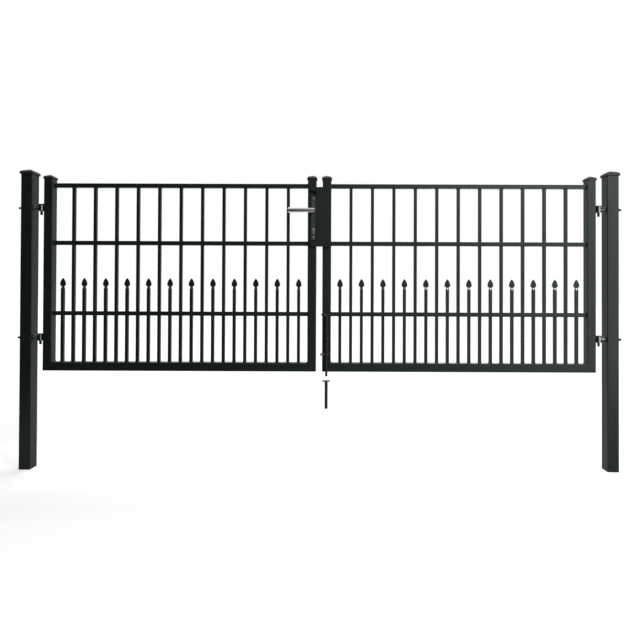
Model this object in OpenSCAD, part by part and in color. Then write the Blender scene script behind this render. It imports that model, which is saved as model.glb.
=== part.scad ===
// Double-leaf driveway gate of powder-coated square steel tube, hung between two posts.
// Millimetres. Origin at the middle of the left post's foot, +X along the gate to the right,
// +Y away from the side that carries the stop plate, +Z up. The stop plate of the right leaf laps
// the left leaf in front, so from shut the left leaf opens towards +Y and the right one towards -Y.

/* [Opening] */
// Width of one leaf over its stiles
leaf_w = 1420; // [900:10:1800]
// Gap between a post and the hinge stile beside it
hinge_gap = 55; // [54:1:80]
// Gap between the two meeting stiles
meet_gap = 32; // [26:1:50]
// Height of the leaves' underside above the feet of the posts
leaf_lift = 510; // [350:10:700]

/* [Posts] */
// Width of the square posts
post_w = 60; // [50:1:80]
// Wall of the posts
post_wall = 2; // [1.5:0.5:4]
// Inner corner radius of the posts
post_bend = 2; // [1:0.5:4]
// Height of the posts above the stiles
post_rise = 22; // [0:1:120]

/* [Leaf frames] */
// Width of the square stiles and bottom rail
stile_w = 45; // [40:1:50]
// Wall of the stiles and bottom rail
stile_wall = 2; // [1.5:0.5:3]
// Inner corner radius of the stiles and bottom rail
stile_bend = 1.5; // [1:0.5:3]
// Height of the stiles, from the leaf's underside to their caps
stile_h = 1000; // [950:1:1200]

/* [Rails] */
// Width of the square rails
rail_w = 22; // [20:1:30]
// Wall of the rails
rail_wall = 1.5; // [1:0.25:2.5]
// Inner corner radius of the rails
rail_bend = 0.8; // [0.5:0.1:1.5]
// Underside of the lower rail above the leaf's underside
lower_rail_z = 287; // [240:1:320]
// Distance from the stile's top down to the upper rail
upper_rail_drop = 323; // [280:1:340]
// Distance from the stile's top down to the top rail
top_rail_drop = 22; // [10:1:40]

/* [Pickets] */
// Width of the square pickets
picket_w = 16; // [12:1:18]
// Wall of the pickets
picket_wall = 1.2; // [1:0.1:2]
// Inner corner radius of the pickets
picket_bend = 0.6; // [0.4:0.1:1.2]
// Spear-headed pickets in a leaf, with one long picket between each two
spear_count = 12; // [6:1:16]
// From a stile's inner face to the middle of the first spear-headed picket
picket_edge = 47; // [35:1:60]
// Clearance of a picket in its punched hole, each side
punch_clear = 0.2; // [0.1:0.05:0.5]

/* [Spear heads] */
// Plain tube of a spear-headed picket above the lower rail, up to where the pressing begins
spear_stem = 112; // [60:1:160]
// Height over which the tube is pressed flat
press_h = 17; // [12:1:25]
// Height of the pressed blade, from neck to point
blade_h = 45; // [36:1:60]
// Height of the blade's barbs above the neck
barb_h = 9; // [4:0.5:14]
// Width of the blade across its barbs
blade_w = 30; // [24:1:36]
// Thickness of the pressed blade
blade_t = 4; // [3:0.5:6]
// Width of the neck under the blade
neck_w = 13; // [8:1:15]

/* [Caps] */
// Overhang of a post cap beyond the post, each side
post_cap_over = 5; // [2:0.5:7]
// Overhang of a stile cap beyond the stile, each side
stile_cap_over = 3.5; // [1:0.5:5]
// Height of a post cap's rim
post_rim = 12; // [6:1:14]
// Height of a post cap's point above its rim
post_point = 18; // [14:1:30]
// Width of the steep band round a post cap's crown
post_crown_in = 9; // [4:1:20]
// Height of the steep band round a post cap's crown
post_crown_up = 7; // [4:1:13]
// Height of a stile cap's rim
stile_rim = 8; // [5:1:12]
// Height of a stile cap's point above its rim
stile_point = 16; // [11:1:24]
// Width of the steep band round a stile cap's crown
stile_crown_in = 7; // [3:1:15]
// Height of the steep band round a stile cap's crown
stile_crown_up = 7; // [4:1:10]
// Depth of a cap's plug in its tube
plug_depth = 18; // [10:1:30]
// Wall of a cap's plug
plug_wall = 2.5; // [2:0.5:4]
// Clearance of a plug in its tube, each side
plug_clear = 0.2; // [0.1:0.05:0.5]

/* [Hinges] */
// Height of the lower hinge above the leaf's underside, at the middle of its eye
hinge_low = 170; // [120:5:250]
// Distance from the stile's top down to the upper hinge, at the middle of its eye
hinge_drop = 152; // [120:2:250]
// From the post's face to the hinge axis
eye_reach = 31; // [31:0.5:34]
// Diameter of the hinge pin
pin_d = 12; // [10:0.5:14]
// Clearance of the pin in its eye, on the radius
pin_clear = 0.05; // [0.03:0.01:0.1]
// Outer diameter of the eye
eye_d = 28; // [24:0.5:29]
// Height of the eye
eye_h = 32; // [24:1:40]
// Diameter of the eyebolt's shank
shank_d = 16; // [12:1:18]
// Clearance of the shank in the post's holes, on the radius
shank_clear = 0.2; // [0.1:0.05:0.5]
// Width of the flange nut across its flats
nut_af = 24; // [20:1:28]
// Height of the flange nut with its flange
nut_h = 15; // [10:1:16]
// Thickness of the nut's flange
nut_flange = 3; // [2:0.5:4]
// Diameter of the nut's flange
nut_flange_d = 30; // [28:1:40]
// Length of the shank's tail beyond the post
tail_len = 7; // [5:1:12]
// Wall of the cap over the tail, at the post
tail_cap_wall = 4; // [3:0.5:5]
// Length of the cap over the tail, up to its round tip
tail_cap_len = 26; // [20:1:32]
// Radius of the cap's round tip
tail_cap_tip = 4; // [3:0.5:5]
// Thickness of the bracket's flange on the stile
bracket_flange = 4; // [3:0.5:5]
// Thickness of the bracket's top plate
bracket_top = 5; // [4:0.5:8]
// Depth of the bracket along the stile's outer face
bracket_w = 28; // [24:1:34]
// Height of the bracket's flange below its top plate
bracket_drop = 44; // [30:1:60]
// Gap between the eye and the bracket's top plate that it carries
seat_gap = 0.3; // [0.1:0.1:1]
// Length of the pin below the eye
pin_tail = 20; // [10:1:30]
// Chamfer at the pin's lower end
pin_chamfer = 2; // [1:0.5:3]

/* [Lock] */
// Distance from the stile's top down to the lever's axis
lever_drop = 168; // [140:1:200]
// From the meeting stile's outer face to the lever's axis
lock_inset = 15; // [14:0.5:18]
// Width of a backplate
backplate_w = 24; // [22:1:27]
// Thickness of a backplate
backplate_t = 6; // [5:0.5:6]
// Backplate above the lever's axis
backplate_up = 80; // [60:1:90]
// Backplate below the lever's axis
backplate_down = 149; // [135:1:150]
// Corner radius of a backplate
backplate_r = 3; // [2:0.5:6]
// Diameter of the neck of the lever and of the knob
neck_d = 18; // [15:0.5:18]
// Clearance of the neck in the backplate, on the radius
neck_clear = 0.06; // [0.03:0.01:0.1]
// Room around the neck in the stile, on the radius
neck_room = 1; // [0.5:0.5:2]
// Gap between the stile's face and the neck's end behind the backplate
neck_gap = 0.5; // [0.3:0.1:1]
// Clear space between the front backplate and the grip
grip_gap = 28; // [24:1:40]
// Depth of the grip
grip_t = 15; // [12:0.5:18]
// Radius of the grip's crowned front and back
grip_crown = 18; // [16:0.5:30]
// Height of the grip beside its neck
grip_hub = 20; // [19:0.5:22]
// Height of the grip at its free end
grip_tip = 27; // [22:0.5:28]
// Length of the grip from its axis to its free end
grip_len = 130; // [100:1:140]
// Corner radius of the grip's free end
grip_corner = 7; // [4:0.5:10]
// Width of the square spindle
spindle_w = 8; // [6:0.5:9]
// Clearance of the spindle in the lever, each side
spindle_clear = 0.1; // [0.05:0.05:0.3]
// Depth of the spindle in the lever
spindle_seat = 20; // [12:1:26]
// Diameter of the knob on the back
knob_d = 46; // [40:1:52]
// Clear neck between the backplate and the knob's flare
knob_neck = 16; // [10:1:24]
// Length of the flare from the knob's neck to its rim
knob_flare = 8; // [4:1:12]
// Thickness of the knob in front of its flare
knob_t = 16; // [12:1:24]
// Height of the knob's domed face
knob_dome = 6; // [3:1:8]
// Depth of the spindle in the lock, behind the leaf's middle
spindle_end = 12; // [8:1:18]
// Distance from the lever's axis down to the key cylinder's axis
key_drop = 94; // [85:1:100]
// Diameter of the key cylinder's round part
key_d = 17; // [15:0.5:17]
// Width of the key cylinder's lower part
key_leg_w = 10; // [8:0.5:11]
// Height of the key cylinder from top to bottom
key_h = 33; // [28:0.5:34]
// How far the key cylinder stands out of the backplates
key_proud = 2; // [1:0.5:4]
// Clearance of the key cylinder in its cut-outs
key_clear = 0.2; // [0.1:0.05:0.5]
// Width of the keyway
keyway_w = 1.6; // [1:0.2:2.4]
// Depth of the keyway
keyway_depth = 12; // [6:1:20]
// Metal left above and below the keyway
keyway_rim = 2.5; // [2:0.5:4]
// Width of the lock's forend and of the strike plate
forend_w = 22; // [18:1:28]
// Thickness of the forend and of the strike plate
forend_t = 2.5; // [2:0.5:4]
// Length of the latch nose in front of the forend
latch_out = 11; // [8:0.5:13]
// Height of the latch nose
latch_h = 30; // [20:1:40]
// Width of the latch nose
latch_w = 12; // [8:0.5:14]
// Width of the latch nose at its tip
latch_tip = 2; // [1:0.5:4]
// Height of the strike plate
strike_h = 110; // [80:1:160]
// Room for the latch in the strike plate, each side
strike_clear = 2; // [1:0.5:4]

/* [Stop plate] */
// Thickness of the stop plate
stop_t = 3; // [2:0.5:4]
// Clear space between the backplate and the stop plate that hangs in front of it
stop_clear = 5; // [5:0.5:8]
// Distance from the stile's top down to the stop plate
stop_drop = 43; // [38:1:50]
// Height of the stop plate
stop_h = 309; // [300:1:325]
// How far the plate's edge laps the other leaf's stile
stop_lap = 0.5; // [0:0.5:3]
// How far the ears lap the other leaf's stile
ear_lap = 28; // [15:1:35]
// Height of the upper ear
ear_high = 23; // [15:1:30]
// Height of the lower ear
ear_low = 30; // [20:1:32]
// Corner radius of the stop plate
stop_r = 4; // [2:0.5:7]
// Width of the packing bar under the stop plate
packing_w = 20; // [15:1:30]

/* [Drop bolt] */
// Diameter of the drop bolt's rod
rod_d = 12; // [10:0.5:14]
// Clear space between the stile and the rod
rod_gap = 6; // [6:0.5:10]
// How far the raised rod hangs below the leaf
rod_below = 22; // [10:1:30]
// Travel of the drop bolt, down into its ground sleeve
rod_travel = 85; // [60:1:95]
// Height of the handle's middle line above the leaf's underside, rod raised
handle_z = 297; // [285:1:340]
// Radius of the rod's bend into its handle
handle_bend = 16; // [14:1:20]
// Length of the handle's straight end
handle_len = 6; // [4:1:40]
// Chamfer at the rod's lower end
rod_chamfer = 3; // [1:0.5:4]
// Height of the lower guide's middle above the leaf's underside
guide_low = 91; // [70:1:110]
// Height of the upper guide's middle above the leaf's underside
guide_high = 172; // [140:1:180]
// Height of a guide
guide_h = 14; // [10:1:20]
// Wall of a guide around the rod
guide_wall = 5; // [4:0.5:8]
// Clearance of the rod in its guides, on the radius
guide_clear = 0.08; // [0.03:0.01:0.1]
// Diameter of the clamp screw
clamp_d = 6; // [5:0.5:8]
// Length of the clamp screw outside the guide, with its head
clamp_out = 20; // [14:1:24]
// Diameter of the clamp screw's head
clamp_head_d = 13; // [10:0.5:14]
// Thickness of the clamp screw's head
clamp_head_t = 9; // [6:0.5:12]
// Clearance between the clamp screw's end and the rod
clamp_clear = 0.3; // [0.2:0.1:0.6]

/* [Ground sleeve] */
// Drop from the leaf's underside to the ground sleeve's flange
sleeve_drop = 44; // [36:1:60]
// Diameter of the flange
sleeve_flange_d = 44; // [36:1:60]
// Thickness of the flange
sleeve_flange_t = 3; // [2:0.5:5]
// Clearance of the rod in the sleeve, on the radius
sleeve_clear = 0.6; // [0.4:0.1:1.5]
// Wall of the sleeve
sleeve_wall = 1.5; // [1:0.25:3]
// Depth of the sleeve below the tip of the lowered rod
sleeve_spare = 80; // [40:1:140]

/* [Hidden] */
$fn = 48;

coat = "#1e2425";
cap_black = "#1d1f20";
zinc = "#747677";
polished = "#c9cac8";
plate_grey = "#595a5a";
nickel = "#8b8a86";

// Places along the gate
post_pitch = post_w + 2 * hinge_gap + 2 * leaf_w + meet_gap;
left_edge = post_w / 2 + hinge_gap;
right_edge = post_pitch - left_edge;
axis_gap = hinge_gap - eye_reach;

// Faces and heights in a leaf
face = stile_w / 2;
inner_w = leaf_w - 2 * stile_w;
upper_rail_z = stile_h - upper_rail_drop - rail_w;
top_rail_z = stile_h - top_rail_drop - rail_w;
picket_step = (inner_w - 2 * picket_edge) / (2 * spear_count - 2);
first_spear = stile_w + picket_edge;
first_long = first_spear + picket_step;
hole_w = picket_w + 2 * punch_clear;
hinge_heights = [hinge_low, stile_h - hinge_drop];
post_h = leaf_lift + stile_h + post_rise;

// Length of a spear-headed picket's plain tube, from the bottom rail up
spear_tube = lower_rail_z + rail_w + spear_stem - stile_w;

// Lock and stop plate
lock_u = leaf_w - lock_inset;
lever_z = stile_h - lever_drop;
plate_face = face + backplate_t;
neck_from = face + neck_gap;
grip_back = plate_face + grip_gap;
stop_back = plate_face + stop_clear;
stop_z = stile_h - stop_drop - stop_h;

// Drop bolt and sleeve
rod_u = leaf_w - stile_w / 2;
rod_y = -(face + rod_gap + rod_d / 2);
guide_r = rod_d / 2 + guide_clear + guide_wall;
sleeve_len = rod_below + rod_travel - sleeve_drop + sleeve_spare;

// A small overrun that takes cuts clear through a wall
over = 1;

module in_left_leaf() translate([left_edge, 0, leaf_lift]) children();
module in_right_leaf() translate([right_edge, 0, leaf_lift]) mirror([1, 0, 0]) children();
module at_right_post() translate([post_pitch, 0, 0]) mirror([1, 0, 0]) children();

// Section of a square tube's outside or inside, with round corners
module round_square(w, r) {
    square([w - 2 * r, w], center = true);
    square([w, w - 2 * r], center = true);
    for (x = [-1, 1], y = [-1, 1]) translate([x, y] * (w / 2 - r)) circle(r);
}

module tube_section(w, wall, bend) {
    difference() {
        round_square(w, bend + wall);
        round_square(w - 2 * wall, bend);
    }
}

// Square tube that stands on the XY plane
module upright(w, wall, bend, len) linear_extrude(len) tube_section(w, wall, bend);

// Square tube that runs along +X from the YZ plane, its middle line on the X axis
module rail_tube(w, wall, bend, len) rotate([90, 0, 90]) upright(w, wall, bend, len);

// Round bar along +X, +Y or its reverse
module bar_x(d, len) rotate([0, 90, 0]) cylinder(d = d, h = len);
module bar_front(d, len) rotate([90, 0, 0]) cylinder(d = d, h = len);

// Outline in the XZ plane, drawn out along Y to both sides
module slab_y(depth) rotate([90, 0, 0]) linear_extrude(depth, center = true) children();

// Outline with round corners from its lower left corner
module plate_outline(w, h, r) {
    translate([r, 0]) square([w - 2 * r, h]);
    translate([0, r]) square([w, h - 2 * r]);
    for (x = [r, w - r], y = [r, h - r]) translate([x, y]) circle(r);
}

// Posts with their through holes for the eyebolts
module post() {
    difference() {
        upright(post_w, post_wall, post_bend, post_h);
        for (z = hinge_heights)
            translate([-post_w, 0, leaf_lift + z]) bar_x(shank_d + 2 * shank_clear, 2 * post_w);
    }
}

// Moulded cap: a rim that laps the tube, a crown with a steep band and a low point, and a hollow
// plug inside the tube. crown gives the band's width, the band's height and the point's height.
module tube_cap(w, wall, bend, lap, rim, crown) {
    rim_w = w + 2 * lap;
    half = rim_w / 2;
    plug_w = w - 2 * wall - 2 * plug_clear;
    slope = [[-half, 0], [half, 0], [half - crown[0], crown[1]], [0, crown[2]],
        [crown[0] - half, crown[1]]];
    linear_extrude(rim) round_square(rim_w, bend + wall);
    translate([0, 0, rim]) intersection() {
        slab_y(rim_w) polygon(slope);
        rotate([0, 0, 90]) slab_y(rim_w) polygon(slope);
        linear_extrude(crown[2]) round_square(rim_w, bend + wall);
    }
    translate([0, 0, -plug_depth]) upright(plug_w, plug_wall, bend, plug_depth + over);
}

module post_cap() {
    crown = [post_crown_in, post_crown_up, post_point];
    translate([0, 0, post_h])
        tube_cap(post_w, post_wall, post_bend, post_cap_over, post_rim, crown);
}

// Eyebolt through the post, with a plain eye in the gap
module eyebolt() {
    shank_from = -post_w / 2 - tail_len;
    axis_x = post_w / 2 + eye_reach;
    difference() {
        union() {
            translate([shank_from, 0, 0]) bar_x(shank_d, axis_x - shank_from);
            translate([axis_x, 0, -eye_h / 2]) cylinder(d = eye_d, h = eye_h);
        }
        translate([axis_x, 0, -eye_h]) cylinder(d = pin_d + 2 * pin_clear, h = 2 * eye_h);
    }
}

// Hexagon nut with a flange, tight against the post's inner face
module hinge_nut() {
    translate([post_w / 2, 0, 0]) difference() {
        union() {
            bar_x(nut_flange_d, nut_flange);
            rotate([0, 90, 0]) rotate([0, 0, 30]) cylinder(d = nut_af / cos(30), h = nut_h, $fn = 6);
        }
        translate([-over, 0, 0]) bar_x(shank_d + 2 * pin_clear, nut_h + 2 * over);
    }
}

// Pointed cap with a round tip over the eyebolt's tail on the post's outer face
module tail_cap() {
    bore_r = shank_d / 2 + pin_clear;
    translate([-post_w / 2, 0, 0]) rotate([0, -90, 0]) difference() {
        union() {
            cylinder(r1 = bore_r + tail_cap_wall, r2 = tail_cap_tip, h = tail_cap_len);
            translate([0, 0, tail_cap_len]) sphere(tail_cap_tip);
        }
        translate([0, 0, -over]) cylinder(r = bore_r, h = tail_len + over);
    }
}

// One piece of hardware at both hinge heights of a post
module at_hinges() for (z = hinge_heights) translate([0, 0, leaf_lift + z]) children();

// Welded angle on the hinge stile with the pin that hangs in the eye
module hinge_bracket() {
    top_z = eye_h / 2 + seat_gap;
    pin_len = eye_h + seat_gap + pin_tail;
    translate([-bracket_flange, -bracket_w / 2, top_z - bracket_drop])
        cube([bracket_flange, bracket_w, bracket_drop + bracket_top]);
    translate([-axis_gap, 0, top_z]) linear_extrude(bracket_top) {
        circle(d = bracket_w);
        translate([0, -bracket_w / 2]) square([axis_gap - bracket_flange, bracket_w]);
    }
    translate([-axis_gap, 0, top_z - pin_len]) {
        cylinder(d1 = pin_d - 2 * pin_chamfer, d2 = pin_d, h = pin_chamfer);
        translate([0, 0, pin_chamfer]) cylinder(d = pin_d, h = pin_len - pin_chamfer);
    }
}

module hinge_brackets() for (z = hinge_heights) translate([0, 0, z]) hinge_bracket();

// Stile at the left end of a leaf, mitred at its foot
module stile() {
    intersection() {
        translate([face, 0, 0]) upright(stile_w, stile_wall, stile_bend, stile_h);
        slab_y(stile_w) polygon([[0, 0], [stile_w, stile_w], [stile_w, stile_h], [0, stile_h]]);
    }
}

// The same stile turned round for the meeting end of the leaf
module meeting_stile() translate([leaf_w, 0, 0]) mirror([1, 0, 0]) stile();

// Bottom rail between the stiles' mitres
module bottom_rail() {
    intersection() {
        translate([0, 0, face]) rail_tube(stile_w, stile_wall, stile_bend, leaf_w);
        slab_y(stile_w)
            polygon([[0, 0], [leaf_w, 0], [leaf_w - stile_w, stile_w], [stile_w, stile_w]]);
    }
}

module plain_rail(z) {
    translate([stile_w, 0, z + rail_w / 2]) rail_tube(rail_w, rail_wall, rail_bend, inner_w);
}

// Square holes through a rail, one at each place along the leaf
module punched_rail(z, places) {
    difference() {
        plain_rail(z);
        for (u = places)
            translate([u - hole_w / 2, -hole_w / 2, z - over]) cube([hole_w, hole_w, rail_w + 2 * over]);
    }
}

spear_places = [for (i = [0 : spear_count - 1]) first_spear + 2 * i * picket_step];
long_places = [for (i = [0 : spear_count - 2]) first_long + 2 * i * picket_step];

module lower_rail() punched_rail(lower_rail_z, concat(spear_places, long_places));
module upper_rail() punched_rail(upper_rail_z, long_places);
module top_rail() plain_rail(top_rail_z);

// Long pickets from the bottom rail through the two punched rails to the top rail
module long_pickets() {
    for (u = long_places)
        translate([u, 0, stile_w]) upright(picket_w, picket_wall, picket_bend, top_rail_z - stile_w);
}

// Front view of a pressed spear above its neck: two barbs, then two arcs that meet in a point
module blade_outline() {
    rise = blade_h - barb_h;
    arc_r = (rise * rise + blade_w * blade_w / 4) / blade_w;
    polygon([[-neck_w / 2, 0], [neck_w / 2, 0], [blade_w / 2, barb_h], [-blade_w / 2, barb_h]]);
    translate([0, barb_h]) intersection() {
        translate([blade_w / 2 - arc_r, 0]) circle(arc_r, $fn = 96);
        translate([arc_r - blade_w / 2, 0]) circle(arc_r, $fn = 96);
        translate([-blade_w / 2, 0]) square([blade_w, rise]);
    }
}

// Side of the pressing: the tube's depth at its foot, the blade's thickness from the neck up
module press_profile() {
    tip = press_h + blade_h;
    polygon([[-picket_w / 2, 0], [picket_w / 2, 0], [blade_t / 2, press_h],
        [blade_t / 2, tip], [-blade_t / 2, tip], [-blade_t / 2, press_h]]);
}

// Spear-headed picket: the tube's end is pressed flat from front and back and trimmed to a spear
module spear_picket() {
    upright(picket_w, picket_wall, picket_bend, spear_tube);
    translate([0, 0, spear_tube]) intersection() {
        slab_y(picket_w) {
            polygon([[-picket_w / 2, 0], [picket_w / 2, 0],
                [neck_w / 2, press_h], [-neck_w / 2, press_h]]);
            translate([0, press_h]) blade_outline();
        }
        rotate([0, 0, 90]) slab_y(blade_w + picket_w) press_profile();
    }
}

module spear_pickets() for (u = spear_places) translate([u, 0, stile_w]) spear_picket();

module stile_caps() {
    crown = [stile_crown_in, stile_crown_up, stile_point];
    for (u = [face, leaf_w - face]) translate([u, 0, stile_h])
        tube_cap(stile_w, stile_wall, stile_bend, stile_cap_over, stile_rim, crown);
}

// Profile of the key cylinder about the middle of its round part, with a clearance all round
module key_profile(clear) {
    leg_r = key_leg_w / 2 + clear;
    leg_end = key_h - key_d / 2 - key_leg_w / 2;
    circle(d = key_d + 2 * clear);
    translate([-leg_r, -leg_end]) square([2 * leg_r, leg_end]);
    translate([0, -leg_end]) circle(leg_r);
}

// Cuts for the spindle and the key cylinder, through the stile or a backplate
module lock_cuts(hub_d) {
    through = 2 * (plate_face + over);
    translate([lock_u, 0, lever_z]) {
        slab_y(through) circle(d = hub_d);
        translate([0, 0, -key_drop]) slab_y(through) key_profile(key_clear);
    }
}

module lock_stile() {
    difference() {
        meeting_stile();
        lock_cuts(neck_d + 2 * neck_room);
    }
}

// Backplate on the stile's front face
module backplate() {
    height = backplate_up + backplate_down;
    difference() {
        translate([lock_u - backplate_w / 2, -face, lever_z - backplate_down]) rotate([90, 0, 0])
            linear_extrude(backplate_t) plate_outline(backplate_w, height, backplate_r);
        lock_cuts(neck_d + 2 * neck_clear);
    }
}

// Key cylinder that passes right through the stile and both backplates
module cylinder_lock() {
    half = plate_face + key_proud;
    translate([lock_u, 0, lever_z - key_drop]) difference() {
        slab_y(2 * half) key_profile(0);
        for (side = [-1, 1]) translate([0, side * half, 0])
            cube([keyway_w, 2 * keyway_depth, key_d - 2 * keyway_rim], center = true);
    }
}

// Forend on the stile's outer face with the nose of the latch
module forend() {
    translate([leaf_w, -forend_w / 2, lever_z - backplate_down])
        cube([forend_t, forend_w, backplate_up + backplate_down]);
    translate([leaf_w + forend_t, 0, lever_z - latch_h / 2]) linear_extrude(latch_h)
        polygon([[-over, -latch_w / 2], [0, -latch_w / 2], [latch_out, latch_w / 2 - latch_tip],
            [latch_out, latch_w / 2], [-over, latch_w / 2]]);
}

// Strike plate on the other leaf's stile, opposite the latch
module strike() {
    difference() {
        translate([leaf_w, -forend_w / 2, lever_z - strike_h / 2]) cube([forend_t, forend_w, strike_h]);
        translate([leaf_w - over, -latch_w / 2 - strike_clear, lever_z - latch_h / 2 - strike_clear])
            cube([forend_t + 2 * over, latch_w + 2 * strike_clear, latch_h + 2 * strike_clear]);
    }
}

// Lever handle in front of the stile: round neck, then a crowned grip that widens to a blunt end
module lever() {
    translate([lock_u, 0, lever_z]) difference() {
        union() {
            translate([0, -neck_from, 0]) bar_front(neck_d, grip_back + grip_t / 2 - neck_from);
            intersection() {
                translate([0, -grip_back - grip_t / 2, 0]) slab_y(grip_t) grip_outline();
                translate([-grip_len - over, -grip_back - grip_t / 2, 0]) rotate([90, 0, 90])
                    linear_extrude(grip_len + grip_hub) grip_section();
            }
        }
        translate([0, -neck_from, 0]) cube([spindle_w + 2 * spindle_clear,
            2 * (spindle_seat + spindle_clear), spindle_w + 2 * spindle_clear], center = true);
    }
}

// Front view of the grip, round about the lever's axis
module grip_outline() {
    end = -grip_len + grip_corner;
    corner_z = grip_tip / 2 - grip_corner;
    circle(d = grip_hub);
    polygon([[0, -grip_hub / 2], [0, grip_hub / 2], [end, grip_tip / 2], [end, -grip_tip / 2]]);
    translate([-grip_len, -corner_z]) square([grip_corner, 2 * corner_z]);
    for (z = [-1, 1]) translate([end, z * corner_z]) circle(grip_corner);
}

// Section across the grip: two arcs that meet the outline's edge above and below
module grip_section() {
    intersection_for (side = [-1, 1])
        translate([side * (grip_crown - grip_t / 2), 0]) circle(grip_crown, $fn = 96);
}

// Square spindle from the lever's seat into the lock
module square_spindle() {
    front_end = neck_from + spindle_seat;
    translate([lock_u - spindle_w / 2, -front_end, lever_z - spindle_w / 2])
        cube([spindle_w, front_end + spindle_end, spindle_w]);
}

// Fixed knob: a round neck in the backplate that flares into a domed head
module knob() {
    flare_from = plate_face - neck_from + knob_neck;
    dome_r = (knob_d * knob_d / 4 + knob_dome * knob_dome) / (2 * knob_dome);
    translate([lock_u, -neck_from, lever_z]) rotate([90, 0, 0]) {
        cylinder(d = neck_d, h = flare_from);
        translate([0, 0, flare_from]) cylinder(d1 = neck_d, d2 = knob_d, h = knob_flare);
        translate([0, 0, flare_from + knob_flare]) intersection() {
            cylinder(d = knob_d, h = knob_t);
            translate([0, 0, knob_t - dome_r]) sphere(dome_r);
        }
    }
}

// Sheet in front of the meeting stiles: it covers the gap, and its two ears lap the other leaf
module stop_sheet() {
    body_w = stile_w + meet_gap + stop_lap;
    ear_w = stile_w + meet_gap + ear_lap;
    translate([leaf_w - stile_w, -stop_back, stop_z]) rotate([90, 0, 0]) linear_extrude(stop_t) {
        plate_outline(body_w, stop_h, stop_r);
        plate_outline(ear_w, ear_low, stop_r);
        translate([0, stop_h - ear_high]) plate_outline(ear_w, ear_high, stop_r);
    }
}

// Bar welded between the stile and the stop plate
module packing() {
    translate([leaf_w - face - packing_w / 2, -stop_back, stop_z])
        cube([packing_w, stop_back - face, stop_h]);
}

// Bored lug on the stile's front face, round at the rod
module guide() {
    translate([rod_u, 0, -guide_h / 2]) linear_extrude(guide_h) difference() {
        union() {
            translate([-guide_r, rod_y]) square([2 * guide_r, -face - rod_y]);
            translate([0, rod_y]) circle(guide_r);
        }
        translate([0, rod_y]) circle(d = rod_d + 2 * guide_clear);
    }
}

module guides() {
    translate([0, 0, guide_high]) guide();
    translate([0, 0, guide_low]) difference() {
        guide();
        translate([rod_u, rod_y, 0]) bar_x(clamp_d + 2 * pin_clear, 2 * guide_r);
    }
}

// Thumb screw in the lower guide's side
module thumb_screw() {
    tip = rod_d / 2 + clamp_clear;
    head_from = guide_r + clamp_out - clamp_head_t;
    translate([rod_u, rod_y, guide_low]) {
        translate([tip, 0, 0]) bar_x(clamp_d, head_from - tip + over);
        translate([head_from, 0, 0]) bar_x(clamp_head_d, clamp_head_t);
    }
}

// Round rod with its top bent over to a short handle that points at the gap
module bent_rod() {
    bend_z = handle_z - handle_bend;
    straight = bend_z + rod_below - rod_chamfer;
    translate([rod_u, rod_y, 0]) {
        translate([0, 0, -rod_below])
            cylinder(d1 = rod_d - 2 * rod_chamfer, d2 = rod_d, h = rod_chamfer);
        translate([0, 0, rod_chamfer - rod_below]) cylinder(d = rod_d, h = straight);
        translate([handle_bend, 0, bend_z]) rotate([90, 0, 0]) rotate([0, 0, 90])
            rotate_extrude(angle = 90) translate([handle_bend, 0]) circle(d = rod_d);
        translate([handle_bend, 0, handle_z]) bar_x(rod_d, handle_len);
        translate([handle_bend + handle_len, 0, handle_z]) sphere(d = rod_d);
    }
}

// Flanged tube in the ground under the drop bolt
module sleeve() {
    bore_d = rod_d + 2 * sleeve_clear;
    translate([rod_u, rod_y, -sleeve_drop]) difference() {
        union() {
            translate([0, 0, -sleeve_flange_t]) cylinder(d = sleeve_flange_d, h = sleeve_flange_t);
            translate([0, 0, -sleeve_len]) cylinder(d = bore_d + 2 * sleeve_wall, h = sleeve_len);
        }
        translate([0, 0, -sleeve_len - over]) cylinder(d = bore_d, h = sleeve_len + 2 * over);
    }
}

// Posts and what is bolted to them
module left_post() color(coat) post();
module right_post() color(coat) at_right_post() post();
module left_post_cap() color(cap_black) post_cap();
module right_post_cap() color(cap_black) at_right_post() post_cap();
module left_eyebolts() color(zinc) at_hinges() eyebolt();
module right_eyebolts() color(zinc) at_right_post() at_hinges() eyebolt();
module left_hinge_nuts() color(zinc) at_hinges() hinge_nut();
module right_hinge_nuts() color(zinc) at_right_post() at_hinges() hinge_nut();
module left_tail_caps() color(cap_black) at_hinges() tail_cap();
module right_tail_caps() color(cap_black) at_right_post() at_hinges() tail_cap();
module ground_sleeve() color(coat) in_right_leaf() sleeve();

// Left leaf
module left_hinge_stile() color(coat) in_left_leaf() stile();
module left_meeting_stile() color(coat) in_left_leaf() lock_stile();
module left_bottom_rail() color(coat) in_left_leaf() bottom_rail();
module left_lower_rail() color(coat) in_left_leaf() lower_rail();
module left_upper_rail() color(coat) in_left_leaf() upper_rail();
module left_top_rail() color(coat) in_left_leaf() top_rail();
module left_long_pickets() color(coat) in_left_leaf() long_pickets();
module left_spear_pickets() color(coat) in_left_leaf() spear_pickets();
module left_stile_caps() color(cap_black) in_left_leaf() stile_caps();
module left_hinge_brackets() color(coat) in_left_leaf() hinge_brackets();

// Right leaf
module right_hinge_stile() color(coat) in_right_leaf() stile();
module right_meeting_stile() color(coat) in_right_leaf() meeting_stile();
module right_bottom_rail() color(coat) in_right_leaf() bottom_rail();
module right_lower_rail() color(coat) in_right_leaf() lower_rail();
module right_upper_rail() color(coat) in_right_leaf() upper_rail();
module right_top_rail() color(coat) in_right_leaf() top_rail();
module right_long_pickets() color(coat) in_right_leaf() long_pickets();
module right_spear_pickets() color(coat) in_right_leaf() spear_pickets();
module right_stile_caps() color(cap_black) in_right_leaf() stile_caps();
module right_hinge_brackets() color(coat) in_right_leaf() hinge_brackets();

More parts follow.
